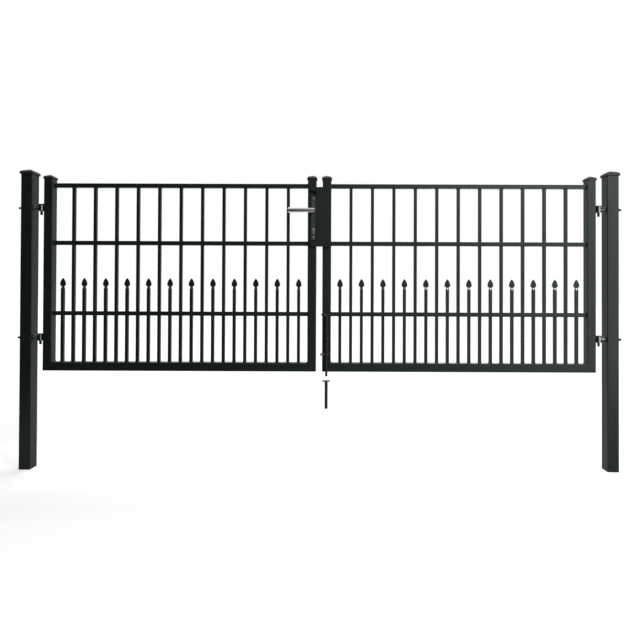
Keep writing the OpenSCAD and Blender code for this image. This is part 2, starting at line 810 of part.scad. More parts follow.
// Lock on the left leaf
module front_backplate() color(plate_grey) in_left_leaf() backplate();
module back_backplate() color(plate_grey) in_left_leaf() mirror([0, 1, 0]) backplate();
module key_cylinder() color(nickel) in_left_leaf() cylinder_lock();
module lock_forend() color(zinc) in_left_leaf() forend();
module front_lever() color(polished) in_left_leaf() lever();
module back_knob() color(polished) in_left_leaf() mirror([0, 1, 0]) knob();
module spindle() color(zinc) in_left_leaf() square_spindle();

// Stop plate, strike and drop bolt on the right leaf
module stop_plate() color(coat) in_right_leaf() stop_sheet();
module stop_packing() color(coat) in_right_leaf() packing();
module strike_plate() color(zinc) in_right_leaf() strike();
module drop_bolt_guides() color(coat) in_right_leaf() guides();
module clamp_screw() color(zinc) in_right_leaf() thumb_screw();
module drop_rod() color(coat) in_right_leaf() bent_rod();

left_post();
right_post();
left_post_cap();
right_post_cap();
left_eyebolts();
right_eyebolts();
left_hinge_nuts();
right_hinge_nuts();
left_tail_caps();
right_tail_caps();
ground_sleeve();
left_hinge_stile();
left_meeting_stile();
left_bottom_rail();
left_lower_rail();
left_upper_rail();
left_top_rail();
left_long_pickets();
left_spear_pickets();
left_stile_caps();
left_hinge_brackets();
right_hinge_stile();
right_meeting_stile();
right_bottom_rail();
right_lower_rail();
right_upper_rail();
right_top_rail();
right_long_pickets();
right_spear_pickets();
right_stile_caps();
right_hinge_brackets();
front_backplate();
back_backplate();
key_cylinder();
lock_forend();
front_lever();
back_knob();
spindle();
stop_plate();
stop_packing();
strike_plate();
drop_bolt_guides();
clamp_screw();
drop_rod();
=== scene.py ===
import math
import random

import bpy
from mathutils import Matrix, Vector


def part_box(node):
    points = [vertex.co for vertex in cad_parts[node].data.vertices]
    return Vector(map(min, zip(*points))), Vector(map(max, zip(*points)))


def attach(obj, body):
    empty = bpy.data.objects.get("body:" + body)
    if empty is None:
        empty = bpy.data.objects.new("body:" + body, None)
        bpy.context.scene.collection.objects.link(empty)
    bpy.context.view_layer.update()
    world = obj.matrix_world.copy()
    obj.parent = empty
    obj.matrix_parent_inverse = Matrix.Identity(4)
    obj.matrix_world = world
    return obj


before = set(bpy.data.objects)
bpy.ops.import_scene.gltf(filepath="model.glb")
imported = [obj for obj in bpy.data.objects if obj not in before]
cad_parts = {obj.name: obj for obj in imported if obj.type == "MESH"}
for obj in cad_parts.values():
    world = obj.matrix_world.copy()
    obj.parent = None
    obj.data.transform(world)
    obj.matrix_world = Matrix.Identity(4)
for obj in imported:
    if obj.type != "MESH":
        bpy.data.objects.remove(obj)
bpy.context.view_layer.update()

# Posts: two lengths of square steel tube, drilled through for the eyebolts, with
# a satin anthracite powder coat baked on. Their lower thirds go into concrete.
coat_tone = (0.0125, 0.0172, 0.0180, 1)
thin_coat_tone = (0.032, 0.040, 0.042, 1)
dust_tone = (0.22, 0.21, 0.19, 1)
coat_gloss = 0.12
coat_relief = (0.25, 0.0003)


def node_group(name, takes, gives):
    """A shader node group with named sockets, and its input and output nodes."""
    group = bpy.data.node_groups.new(name, "ShaderNodeTree")
    for label, kind, value in takes:
        group.interface.new_socket(label, in_out="INPUT", socket_type=kind).default_value = value
    for label, kind in gives:
        group.interface.new_socket(label, in_out="OUTPUT", socket_type=kind)
    return group, group.nodes.new("NodeGroupInput"), group.nodes.new("NodeGroupOutput")


def node(tree, kind, sockets=None, family="ShaderNode", **settings):
    """A node with its settings, and its sockets linked or set."""
    made = tree.nodes.new(family + kind)
    for key, value in settings.items():
        setattr(made, key, value)
    for key, value in (sockets or {}).items():
        if isinstance(value, bpy.types.NodeSocket):
            tree.links.new(value, made.inputs[key])
        else:
            made.inputs[key].default_value = value
    return made


def calc(tree, operation, first, second=0.0):
    """The result of one operation on one or two values."""
    return node(tree, "Math", {0: first, 1: second}, operation=operation).outputs[0]


def spread(tree, value, low, high, to_low, to_high):
    """Carries value from one range to another, clamped."""
    sockets = {"Value": value, 1: low, 2: high, 3: to_low, 4: to_high}
    return node(tree, "MapRange", sockets).outputs[0]


def speckle(tree, place, scale, detail):
    """Soft noise, most of it within noise_span."""
    sockets = {"Vector": place, "Scale": scale, "Detail": detail}
    return node(tree, "TexNoise", sockets).outputs["Fac"]


def blended(tree, amount, under, over):
    """Colour over laid on colour under by amount."""
    sockets = {"Factor": amount, 6: under, 7: over}
    return node(tree, "Mix", sockets, data_type="RGBA").outputs[2]


def scaled(tree, colour, amount):
    """A colour or a vector times an amount."""
    return node(tree, "VectorMath", {0: colour, "Scale": amount}, operation="SCALE").outputs[0]


# The melted powder: an orange-peel skin with fine grain, and slow drifts of tone.
noise_span = (0.3, 0.7)
noise_middle = (0.35, 0.65)
tube_peel_scale = 420.0
coat_grain_scale = 2600.0
coat_drift_scale = 2.6
coat_roughness = (0.27, 0.36)
tooth_share = 0.35
coat_skin, taken, given = node_group(
    "coat_skin",
    [("Tone", "NodeSocketColor", coat_tone), ("Peel Scale", "NodeSocketFloat", tube_peel_scale)],
    [("Color", "NodeSocketColor"), ("Roughness", "NodeSocketFloat"), ("Height", "NodeSocketFloat")],
)
place = node(coat_skin, "TexCoord").outputs["Object"]
peel = speckle(coat_skin, place, taken.outputs["Peel Scale"], 1.5)
grain = speckle(coat_skin, place, coat_grain_scale, 1.0)
drift = speckle(coat_skin, place, coat_drift_scale, 3.0)
shade = spread(coat_skin, drift, *noise_span, 0.88, 1.12)
shade = calc(coat_skin, "ADD", shade, spread(coat_skin, grain, *noise_span, -0.06, 0.06))
coat_skin.links.new(scaled(coat_skin, taken.outputs["Tone"], shade), given.inputs["Color"])
coat_skin.links.new(spread(coat_skin, peel, 0.25, 0.75, *coat_roughness), given.inputs["Roughness"])
tooth = calc(coat_skin, "MULTIPLY", grain, tooth_share)
coat_skin.links.new(calc(coat_skin, "ADD", peel, tooth), given.inputs["Height"])

# Rounded edges of tubes and plates, where the melted powder runs thin.
edge_turn = (0.97, 0.74)
edge_patch_scale = 38.0
thin_edges, taken, given = node_group(
    "thin_edges", [("Amount", "NodeSocketFloat", 0.5)], [("Mask", "NodeSocketFloat")]
)
coords = node(thin_edges, "TexCoord")
facing = node(thin_edges, "VectorMath", {0: coords.outputs["Normal"]}, operation="ABSOLUTE").outputs[0]
axes = node(thin_edges, "SeparateXYZ", {0: facing})
squareness = calc(thin_edges, "MAXIMUM", axes.outputs[1], axes.outputs[2])
squareness = calc(thin_edges, "MAXIMUM", axes.outputs[0], squareness)
rounded = spread(thin_edges, squareness, *edge_turn, 0.0, 1.0)
patchy = speckle(thin_edges, coords.outputs["Object"], edge_patch_scale, 4.0)
patchy = spread(thin_edges, patchy, *noise_middle, 0.25, 1.0)
edge_mask = calc(thin_edges, "MULTIPLY", rounded, patchy)
edge_mask = calc(thin_edges, "MULTIPLY", edge_mask, taken.outputs["Amount"])
thin_edges.links.new(edge_mask, given.inputs["Mask"])

# Outdoor dust that settles on what faces up.
dust_lie = (0.55, 1.0)
dust_drift_scale = 55.0
settled_dust, taken, given = node_group(
    "settled_dust", [("Amount", "NodeSocketFloat", 0.3)], [("Mask", "NodeSocketFloat")]
)
facing = node(settled_dust, "NewGeometry").outputs["Normal"]
upward = node(settled_dust, "SeparateXYZ", {0: facing}).outputs[2]
lying = spread(settled_dust, upward, *dust_lie, 0.0, 1.0)
place = node(settled_dust, "TexCoord").outputs["Object"]
drifted = speckle(settled_dust, place, dust_drift_scale, 5.0)
drifted = spread(settled_dust, drifted, *noise_span, 0.35, 1.0)
dust_mask = calc(settled_dust, "MULTIPLY", lying, drifted)
dust_mask = calc(settled_dust, "MULTIPLY", dust_mask, taken.outputs["Amount"])
settled_dust.links.new(dust_mask, given.inputs["Mask"])


def use(tree, group, **sockets):
    """Places a node group, with its own values, in a material."""
    made = tree.nodes.new("ShaderNodeGroup")
    made.node_tree = group
    for key, value in sockets.items():
        made.inputs[key.replace("_", " ")].default_value = value
    return made


def finish(name, metallic, specular):
    """A new material with its Principled shader, and the node tree that holds it."""
    material = bpy.data.materials.new(name)
    material.use_nodes = True
    tree = material.node_tree
    shader = tree.nodes["Principled BSDF"]
    shader.inputs["Metallic"].default_value = metallic
    shader.inputs["Specular IOR Level"].default_value = specular
    return material, tree, shader


def relief(tree, shader, height, strength, depth):
    """Bumps on a shader, from a height."""
    bump = node(tree, "Bump", {"Height": height, "Strength": strength, "Distance": depth})
    tree.links.new(bump.outputs[0], shader.inputs["Normal"])


def coated(name, thin, dust, peel_scale=tube_peel_scale):
    """Powder coat with its own thin edges, dust and peel."""
    material, tree, shader = finish(name, 0.0, coat_gloss)
    skin = use(tree, coat_skin, Tone=coat_tone, Peel_Scale=peel_scale)
    colour = skin.outputs["Color"]
    if thin:
        colour = blended(tree, use(tree, thin_edges, Amount=thin).outputs[0], colour, thin_coat_tone)
    colour = blended(tree, use(tree, settled_dust, Amount=dust).outputs[0], colour, dust_tone)
    tree.links.new(colour, shader.inputs["Base Color"])
    tree.links.new(skin.outputs["Roughness"], shader.inputs["Roughness"])
    relief(tree, shader, skin.outputs["Height"], *coat_relief)
    return material


def dress(material, *names):
    """Gives CAD nodes their finish."""
    for name in names:
        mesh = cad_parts[name].data
        mesh.materials.clear()
        mesh.materials.append(material)


tube_thinning = 0.35
tube_dust = 0.16
tube_coat = coated("tube_coat", tube_thinning, tube_dust)
dress(tube_coat, "left_post", "right_post")

# Post caps: injection-moulded black plastic with a spark-eroded grain, pushed into
# the posts on hollow plugs. The rim laps the tube and the top sheds rain to four sides.
cap_tone = (0.012, 0.0135, 0.014, 1)
cap_edge_round = 0.0009
cap_grain_scale = 1500.0
cap_scuff_scale = 22.0
cap_roughness = (0.5, 0.68)
cap_gloss = 0.15
cap_dust = 0.05
cap_relief = (0.25, 0.0002)

# Turns every face of a closed mesh outwards, so that its edges can be rounded: slanted rays from
# each face count the walls ahead, and most of the counts are odd where the face looks inwards.
ray_slants = ((0.29, 0.41, 0.53), (0.11, 0.23, 0.07), (0.17, 0.53, 0.23))
ray_clear = 0.00001
ray_length = 10.0
most_walls = 10
faces_out = bpy.data.node_groups.new("faces_out", "GeometryNodeTree")
for way in ("INPUT", "OUTPUT"):
    faces_out.interface.new_socket("Mesh", in_out=way, socket_type="NodeSocketGeometry")
solid = faces_out.nodes.new("NodeGroupInput").outputs[0]
middle = node(faces_out, "InputPosition", family="GeometryNode").outputs[0]
normal = node(faces_out, "InputNormal", family="GeometryNode").outputs[0]
votes = 0.0
for slant in ray_slants:
    ahead = node(faces_out, "VectorMath", {0: normal, 1: slant}, operation="ADD").outputs[0]
    clear = scaled(faces_out, ahead, ray_clear)
    spot, hit, walls = middle, 1.0, 0.0
    for _ in range(most_walls):
        start = node(faces_out, "VectorMath", {0: spot, 1: clear}, operation="ADD").outputs[0]
        ray = {
            "Target Geometry": solid,
            "Source Position": start,
            "Ray Direction": ahead,
            "Ray Length": ray_length,
        }
        wall = node(faces_out, "Raycast", ray, family="GeometryNode").outputs
        hit = calc(faces_out, "MULTIPLY", hit, wall["Is Hit"])
        walls = calc(faces_out, "ADD", walls, hit)
        spot = wall["Hit Position"]
    votes = calc(faces_out, "ADD", votes, calc(faces_out, "MODULO", walls, 2.0))
inward = calc(faces_out, "GREATER_THAN", votes, len(ray_slants) / 2)
turned_out = node(faces_out, "FlipFaces", {"Mesh": solid, "Selection": inward}, family="GeometryNode")
faces_out.links.new(turned_out.outputs[0], faces_out.nodes.new("NodeGroupOutput").inputs[0])

join_gap = 0.00001
flat_turn = 0.5


def soften(width, steps, *names, sharper=28):
    """Rounds the sharp edges of CAD nodes with modifiers, their meshes left as they are."""
    for name in names:
        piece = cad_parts[name]
        piece.modifiers.new("join", "WELD").merge_threshold = join_gap
        piece.modifiers.new("faces out", "NODES").node_group = faces_out
        flat = piece.modifiers.new("flat faces", "DECIMATE")
        flat.decimate_type = "DISSOLVE"
        flat.angle_limit = math.radians(flat_turn)
        edges = piece.modifiers.new("soft edges", "BEVEL")
        edges.width = width
        edges.segments = steps
        edges.limit_method = "ANGLE"
        edges.angle_limit = math.radians(sharper)
        edges.miter_outer = "MITER_ARC"
        piece.modifiers.new("even shading", "WEIGHTED_NORMAL").keep_sharp = False


# Grain of a spark-eroded mould, with paler scuffs.
mould_grain, taken, given = node_group(
    "mould_grain",
    [("Tone", "NodeSocketColor", cap_tone), ("Grain Scale", "NodeSocketFloat", cap_grain_scale)],
    [("Color", "NodeSocketColor"), ("Roughness", "NodeSocketFloat"), ("Height", "NodeSocketFloat")],
)
place = node(mould_grain, "TexCoord").outputs["Object"]
cells = {"Vector": place, "Scale": taken.outputs["Grain Scale"]}
pits = node(mould_grain, "TexVoronoi", cells).outputs["Distance"]
scuffs = speckle(mould_grain, place, cap_scuff_scale, 5.0)
shade = spread(mould_grain, scuffs, *noise_span, 0.8, 1.3)
mould_grain.links.new(scaled(mould_grain, taken.outputs["Tone"], shade), given.inputs["Color"])
mould_grain.links.new(spread(mould_grain, scuffs, *noise_span, *cap_roughness), given.inputs["Roughness"])
mould_grain.links.new(pits, given.inputs["Height"])

black_moulding, tree, shader = finish("black_moulding", 0.0, cap_gloss)
grain = use(tree, mould_grain, Tone=cap_tone, Grain_Scale=cap_grain_scale)
dusted = use(tree, settled_dust, Amount=cap_dust).outputs[0]
dusted = blended(tree, dusted, grain.outputs["Color"], dust_tone)
tree.links.new(dusted, shader.inputs["Base Color"])
tree.links.new(grain.outputs["Roughness"], shader.inputs["Roughness"])
relief(tree, shader, grain.outputs["Height"], *cap_relief)
dress(black_moulding, "left_post_cap", "right_post_cap")
soften(cap_edge_round, 3, "left_post_cap", "right_post_cap")

# Eyebolts: forged eyes on threaded shanks through the posts, zinc-plated and dark passivated.
# A flange nut locks each against the post's inner face, and a push-on cap hides its tail.
zinc_tone = (0.17, 0.173, 0.175, 1)
zinc_blue_tone = (0.115, 0.122, 0.13, 1)
zinc_patch_scale = 90.0
zinc_frost_scale = 1900.0
zinc_relief = (0.15, 0.0001)
metal_gloss = 0.5
bolt_edge_round = 0.0008

# Zinc plating: cloudy patches of passivate over a fine frost.
zinc_bloom, taken, given = node_group(
    "zinc_bloom",
    [("Tone", "NodeSocketColor", zinc_tone), ("Cast", "NodeSocketColor", zinc_blue_tone),
     ("Patch Scale", "NodeSocketFloat", zinc_patch_scale)],
    [("Color", "NodeSocketColor"), ("Roughness", "NodeSocketFloat"), ("Height", "NodeSocketFloat")],
)
place = node(zinc_bloom, "TexCoord").outputs["Object"]
patches = speckle(zinc_bloom, place, taken.outputs["Patch Scale"], 4.0)
frost = speckle(zinc_bloom, place, zinc_frost_scale, 2.0)
cloudy = spread(zinc_bloom, patches, 0.38, 0.62, 0.0, 1.0)
cloudy = blended(zinc_bloom, cloudy, taken.outputs["Tone"], taken.outputs["Cast"])
zinc_bloom.links.new(cloudy, given.inputs["Color"])
dull = spread(zinc_bloom, patches, *noise_span, 0.2, 0.34)
dull = calc(zinc_bloom, "ADD", dull, spread(zinc_bloom, frost, *noise_span, -0.05, 0.07))
zinc_bloom.links.new(dull, given.inputs["Roughness"])
zinc_bloom.links.new(frost, given.inputs["Height"])

dark_zinc, tree, shader = finish("dark_zinc", 1.0, metal_gloss)
bloom = use(tree, zinc_bloom, Tone=zinc_tone, Cast=zinc_blue_tone, Patch_Scale=zinc_patch_scale)
tree.links.new(bloom.outputs["Color"], shader.inputs["Base Color"])
tree.links.new(bloom.outputs["Roughness"], shader.inputs["Roughness"])
relief(tree, shader, bloom.outputs["Height"], *zinc_relief)
for side in ("left", "right"):
    dress(dark_zinc, side + "_eyebolts", side + "_hinge_nuts")
    dress(black_moulding, side + "_tail_caps")
    soften(bolt_edge_round, 2, side + "_eyebolts", side + "_hinge_nuts", side + "_tail_caps")

# Leaf frames: two stiles and a bottom rail of square tube, mitred at the lower corners and
# welded all round. The mitres are ground flush outside and left as beads inside.
mitre_leg = 0.0032
seam_width = 0.0026
seam_step = 0.004
seam_ripple = 0.05
seam_crown = 0.13
seam_short = 0.001
stile_corner = 0.0035
bead_step = 0.0012
bead_ripple = 0.14
bead_roundness = 0.45
bead_flatness = 0.55
weld_root = -0.3
ripple_turn = 2.1
ripple_lean = 2.5
wobble = random.Random(7)
bead_section = []
for turn in (i * math.pi / 10 for i in range(6)):
    reach = bead_roundness + bead_flatness / (math.cos(turn) + math.sin(turn))
    bead_section.append((math.cos(turn) * reach, math.sin(turn) * reach))
bead_section.append((weld_root, weld_root))
seam_section = []
for turn in (i * math.pi / 6 for i in range(7)):
    seam_section.append((math.cos(turn), seam_crown * math.sin(turn)))
seam_section.append((0, weld_root))
along_x, along_y, along_z = Vector((1, 0, 0)), Vector((0, 1, 0)), Vector((0, 0, 1))


def straight_run(start, end, out, step=bead_step):
    """Points of a straight weld, and the way out from it at each."""
    count = max(2, round((end - start).length / step))
    return [start.lerp(end, i / count) for i in range(count + 1)], [out] * (count + 1)


def loop_run(centre, u, v, half_u, half_v, radius, step=bead_step):
    """Points of a weld round a tube's or plate's foot, and the way out from it at each."""
    points, outs = [], []
    for quarter, (su, sv) in enumerate(((1, 1), (-1, 1), (-1, -1), (1, -1))):
        middle = centre + u * su * (half_u - radius) + v * sv * (half_v - radius)
        for part in range(4):
            turn = math.radians(90 * quarter + 30 * part)
            out = u * math.cos(turn) + v * math.sin(turn)
            points.append(middle + out * radius)
            outs.append(out)
        length = 2 * ((half_u if quarter % 2 == 0 else half_v) - radius)
        onward = (-u, -v, u, v)[quarter]
        for part in range(1, max(1, round(length / step))):
            points.append(middle + out * radius + onward * part * step)
            outs.append(out)
    return points, outs


def lay_weld(shape, run, up, leg, closed=False, section=bead_section, ripple=bead_ripple):
    """Adds a weld to shape: rings along the run, each a section between out and up."""
    verts, faces = shape
    points, outs = run
    first, ring, count = len(verts), len(section), len(points)
    for i, (point, out) in enumerate(zip(points, outs)):
        ahead = (points[(i + 1) % count] - points[i - 1]) if 0 < i < count - 1 else (points[1] - points[0])
        swell = leg * (1 + ripple * math.sin(i * ripple_turn) + ripple * wobble.uniform(-0.5, 0.5))
        lean = ahead.normalized() * leg * ripple_lean * ripple
        for a, b in section:
            verts.append(point + (out * a + up * b) * swell + lean * max(0, a) * max(0, b))
    for i in range(count if closed else count - 1):
        here, after = first + i * ring, first + (i + 1) % count * ring
        for k in range(ring):
            n = (k + 1) % ring
            faces.append((here + k, here + n, after + n, after + k))
    if not closed:
        faces.append(tuple(range(first, first + ring)))
        faces.append(tuple(range(first + (count - 1) * ring, first + count * ring))[::-1])


def new_piece(name, shape, material, body):
    """One mesh piece, its faces turned outwards, riding on its body."""
    mesh = bpy.data.meshes.new(name)
    mesh.from_pydata([tuple(v) for v in shape[0]], [], shape[1])
    mesh.validate()
    piece = bpy.data.objects.new(name, mesh)
    bpy.context.scene.collection.objects.link(piece)
    bpy.context.view_layer.objects.active = piece
    bpy.ops.object.mode_set(mode="EDIT")
    bpy.ops.mesh.select_all(action="SELECT")
    bpy.ops.mesh.normals_make_consistent(inside=False)
    bpy.ops.object.mode_set(mode="OBJECT")
    mesh.materials.append(material)
    mesh.shade_smooth()
    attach(piece, body)


for side in ("left", "right"):
    dress(tube_coat, side + "_hinge_stile", side + "_meeting_stile", side + "_bottom_rail")
    welds = ([], [])
    rail_low, rail_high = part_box(side + "_bottom_rail")
    stile_w = rail_high.z - rail_low.z
    inner = (rail_low.x + stile_w, rail_high.x - stile_w)
    for edge, inside, inward in ((rail_low.x, inner[0], along_x), (rail_high.x, inner[1], -along_x)):
        start = Vector((inside, rail_low.y + stile_corner, rail_high.z))
        end = Vector((inside, rail_high.y - stile_corner, rail_high.z))
        lay_weld(welds, straight_run(start, end, inward), along_z, mitre_leg)
        for y, outward in ((rail_low.y, -along_y), (rail_high.y, along_y)):
            start = Vector((edge + inward.x * stile_corner, y, rail_low.z + stile_corner))
            end = Vector((inside - inward.x * seam_short, y, rail_high.z - seam_short))
            across = (end - start).cross(outward).normalized()
            seam = straight_run(start, end, across, seam_step)
            lay_weld(welds, seam, outward, seam_width, False, seam_section, seam_ripple)
    new_piece(side + "_frame_welds", welds, tube_coat, side + "_leaf")

# Rails: three lengths of thin square tube across each leaf. The lower two are punched for the
# pickets, the top one is plain, and each end is welded round to the stile's inner face.
rail_leg = 0.0022
rail_corner = 0.0023
for side in ("left", "right"):
    rails = [side + name for name in ("_lower_rail", "_upper_rail", "_top_rail")]
    dress(tube_coat, *rails)
    welds = ([], [])
    for name in rails:
        low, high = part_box(name)
        half = (high.z - low.z) / 2
        for x, away in ((low.x, along_x), (high.x, -along_x)):
            foot = Vector((x, 0, low.z + half))
            lay_weld(welds, loop_run(foot, along_y, along_z, half, half, rail_corner), away, rail_leg, True)
    new_piece(side + "_rail_welds", welds, tube_coat, side + "_leaf")

# Pickets: thin square tubes welded to the bottom rail. The long ones run up through two punched
# rails to the top rail. The short ones end in spears, pressed flat and trimmed from the tube.
picket_leg = 0.0018
picket_corner = 0.0018
picket_half = 0.008
blade_half = 0.015
blade_h = 0.045
v_height = 0.0135
v_half = 0.0046
v_soft = 0.0006
v_gloss = 1.0
v_roughness = 0.12
slope_roughening = 0.5
slope_rise = (0.22, 0.3)
slope_front = (0.85, 0.92)
slope_turn = 15
spear_edge_round = 0.0005
spear_count = 12
tack_half = 0.005

# The V that the die burnishes on the slope of each pressing, and the rough slope beside it.
# First is the first picket's place along the leaf, Step the pickets' spacing and Foot the height
# of the V's point.
burnished_v, taken, given = node_group(
    "burnished_v",
    [("First", "NodeSocketFloat", 0.0), ("Step", "NodeSocketFloat", 0.1), ("Foot", "NodeSocketFloat", 0.0)],
    [("Mask", "NodeSocketFloat"), ("Beside", "NodeSocketFloat")],
)
coords = node(burnished_v, "TexCoord").outputs
place = node(burnished_v, "SeparateXYZ", {0: coords["Object"]}).outputs
facing = node(burnished_v, "SeparateXYZ", {0: coords["Normal"]}).outputs
steps = calc(burnished_v, "SUBTRACT", place[0], taken.outputs["First"])
steps = calc(burnished_v, "ADD", calc(burnished_v, "DIVIDE", steps, taken.outputs["Step"]), 0.5)
aside = calc(burnished_v, "SUBTRACT", calc(burnished_v, "FRACT", steps), 0.5)
aside = calc(burnished_v, "MULTIPLY", calc(burnished_v, "ABSOLUTE", aside), taken.outputs["Step"])
rise = calc(burnished_v, "SUBTRACT", place[2], taken.outputs["Foot"])
spare = calc(burnished_v, "SUBTRACT", spread(burnished_v, rise, 0.0, v_height, 0.0, v_half), aside)
inside = spread(burnished_v, spare, -v_soft, v_soft, 0.0, 1.0)
sloped = spread(burnished_v, facing[2], *slope_rise, 0.0, 1.0)
across = spread(burnished_v, calc(burnished_v, "ABSOLUTE", facing[1]), *slope_front, 0.0, 1.0)
slope = calc(burnished_v, "MULTIPLY", sloped, across)
v_mask = calc(burnished_v, "MULTIPLY", inside, slope)
burnished_v.links.new(v_mask, given.inputs["Mask"])
burnished_v.links.new(calc(burnished_v, "SUBTRACT", slope, v_mask), given.inputs["Beside"])


def pressed(name, first, step, foot):
    """Powder coat that lies glossy in the V of each pressing."""
    material = coated(name, tube_thinning, tube_dust)
    tree = material.node_tree
    shader = tree.nodes["Principled BSDF"]
    shader.inputs["Coat Roughness"].default_value = v_roughness
    pressing = use(tree, burnished_v, First=first, Step=step, Foot=foot)
    tree.links.new(calc(tree, "MULTIPLY", pressing.outputs["Mask"], v_gloss), shader.inputs["Coat Weight"])
    skin_rough = shader.inputs["Roughness"].links[0].from_socket
    drawn_rough = calc(tree, "MULTIPLY", pressing.outputs["Beside"], slope_roughening)
    tree.links.new(calc(tree, "ADD", skin_rough, drawn_rough), shader.inputs["Roughness"])
    return material


def lay_tack(shape, x, z):
    """Adds a short weld behind a picket, on top of a rail."""
    ends = Vector((x - tack_half, picket_half, z)), Vector((x + tack_half, picket_half, z))
    lay_weld(shape, straight_run(*ends, along_y), along_z, picket_leg)


for side in ("left", "right"):
    dress(tube_coat, side + "_long_pickets")
    soften(spear_edge_round, 2, side + "_spear_pickets", sharper=slope_turn)
    foot_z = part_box(side + "_bottom_rail")[1].z
    head_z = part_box(side + "_top_rail")[0].z
    lower_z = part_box(side + "_lower_rail")[1].z
    upper_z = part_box(side + "_upper_rail")[1].z
    low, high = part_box(side + "_spear_pickets")
    spear_step = (high.x - low.x - 2 * blade_half) / (spear_count - 1)
    spears = [low.x + blade_half + i * spear_step for i in range(spear_count)]
    longs = [x + spear_step / 2 for x in spears[:-1]]
    spear_coat = pressed(side + "_spear_coat", spears[0], spear_step, high.z - blade_h - v_height)
    dress(spear_coat, side + "_spear_pickets")
    welds = ([], [])
    for x in spears + longs:
        foot = loop_run(Vector((x, 0, foot_z)), along_x, along_y, picket_half, picket_half, picket_corner)
        lay_weld(welds, foot, along_z, picket_leg, True)
        lay_tack(welds, x, lower_z)
    for x in longs:
        head = loop_run(Vector((x, 0, head_z)), along_x, along_y, picket_half, picket_half, picket_corner)
        lay_weld(welds, head, -along_z, picket_leg, True)
        lay_tack(welds, x, upper_z)
    new_piece(side + "_picket_welds", welds, tube_coat, side + "_leaf")

# Stile caps: smaller mouldings of the same black plastic, pushed into the open tops of the stiles.
# They close the tubes after the leaf has been coated.
for side in ("left", "right"):
    dress(black_moulding, side + "_stile_caps")
    soften(cap_edge_round, 3, side + "_stile_caps")

# Hinge brackets: angles of flat steel welded to the hinge stiles before coating, each with
# a turned pin that hangs in the eyebolt's eye and carries the leaf.
bracket_leg = 0.003
bracket_flange_h = 0.049
bracket_edge_round = 0.0006
eye_height = 0.032
flat_corner = 0.0008
plate_thinning = 0.5
plate_dust = 0.14
plate_peel_scale = 360.0
plate_coat = coated("plate_coat", plate_thinning, plate_dust, plate_peel_scale)
for side, away in (("left", -along_x), ("right", along_x)):
    dress(plate_coat, side + "_hinge_brackets")
    soften(bracket_edge_round, 2, side + "_hinge_brackets")
    low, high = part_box(side + "_hinge_brackets")
    stile_low, stile_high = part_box(side + "_hinge_stile")
    stile_face = stile_low.x if side == "left" else stile_high.x
    bolts_low, bolts_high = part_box(side + "_eyebolts")
    welds = ([], [])
    for top in (high.z, high.z - (bolts_high.z - bolts_low.z) + eye_height):
        middle = Vector((stile_face, 0, top - bracket_flange_h / 2))
        flange = loop_run(middle, along_y, along_z, high.y, bracket_flange_h / 2, flat_corner)
        lay_weld(welds, flange, away, bracket_leg, True)
    new_piece(side + "_hinge_welds", welds, plate_coat, side + "_leaf")

# Lock plates: narrow bars of satin metal on both faces of the lock stile, each held by two
# raised countersunk screws, with cut-outs for the lever's neck and the key cylinder.
plate_tone = (0.08, 0.082, 0.082, 1)
plate_dark_tone = (0.048, 0.05, 0.051, 1)
screw_radius = 0.0042
screw_rise = 0.0014
screw_inset = 0.0145
slot_reach = 0.0025
slot_half = 0.00055
slot_depth = 0.0012
plate_brushing = (1400.0, 1400.0, 10.0)
plate_dullness = 0.34
plate_edge_round = 0.0008
drawn_relief = (0.08, 0.0001)
smear_scale = 45.0

# Metal drawn or brushed one way: fine streaks along one axis.
drawn_metal, taken, given = node_group(
    "drawn_metal",
    [("Tone", "NodeSocketColor", plate_tone), ("Streak", "NodeSocketColor", plate_dark_tone),
     ("Across", "NodeSocketVector", plate_brushing), ("Dullness", "NodeSocketFloat", plate_dullness)],
    [("Color", "NodeSocketColor"), ("Roughness", "NodeSocketFloat"), ("Height", "NodeSocketFloat")],
)
place = node(drawn_metal, "TexCoord").outputs["Object"]
squeeze = {0: place, 1: taken.outputs["Across"]}
drawn = node(drawn_metal, "VectorMath", squeeze, operation="MULTIPLY").outputs[0]
streaks = speckle(drawn_metal, drawn, 1.0, 3.0)
smears = speckle(drawn_metal, place, smear_scale, 4.0)
streaked = spread(drawn_metal, streaks, *noise_middle, 0.0, 0.7)
streaked = blended(drawn_metal, streaked, taken.outputs["Tone"], taken.outputs["Streak"])
drawn_metal.links.new(streaked, given.inputs["Color"])
dull = spread(drawn_metal, streaks, *noise_span, -0.06, 0.06)
dull = calc(drawn_metal, "ADD", taken.outputs["Dullness"], dull)
dull = calc(drawn_metal, "ADD", dull, spread(drawn_metal, smears, *noise_middle, -0.03, 0.06))
drawn_metal.links.new(dull, given.inputs["Roughness"])
drawn_metal.links.new(streaks, given.inputs["Height"])


def drawn_finish(name, tone, streak, across, dullness):
    """Bare metal with streaks along its length."""
    material, tree, shader = finish(name, 1.0, metal_gloss)
    lines = use(tree, drawn_metal, Tone=tone, Streak=streak, Across=across, Dullness=dullness)
    tree.links.new(lines.outputs["Color"], shader.inputs["Base Color"])
    tree.links.new(lines.outputs["Roughness"], shader.inputs["Roughness"])
    relief(tree, shader, lines.outputs["Height"], *drawn_relief)
    return material


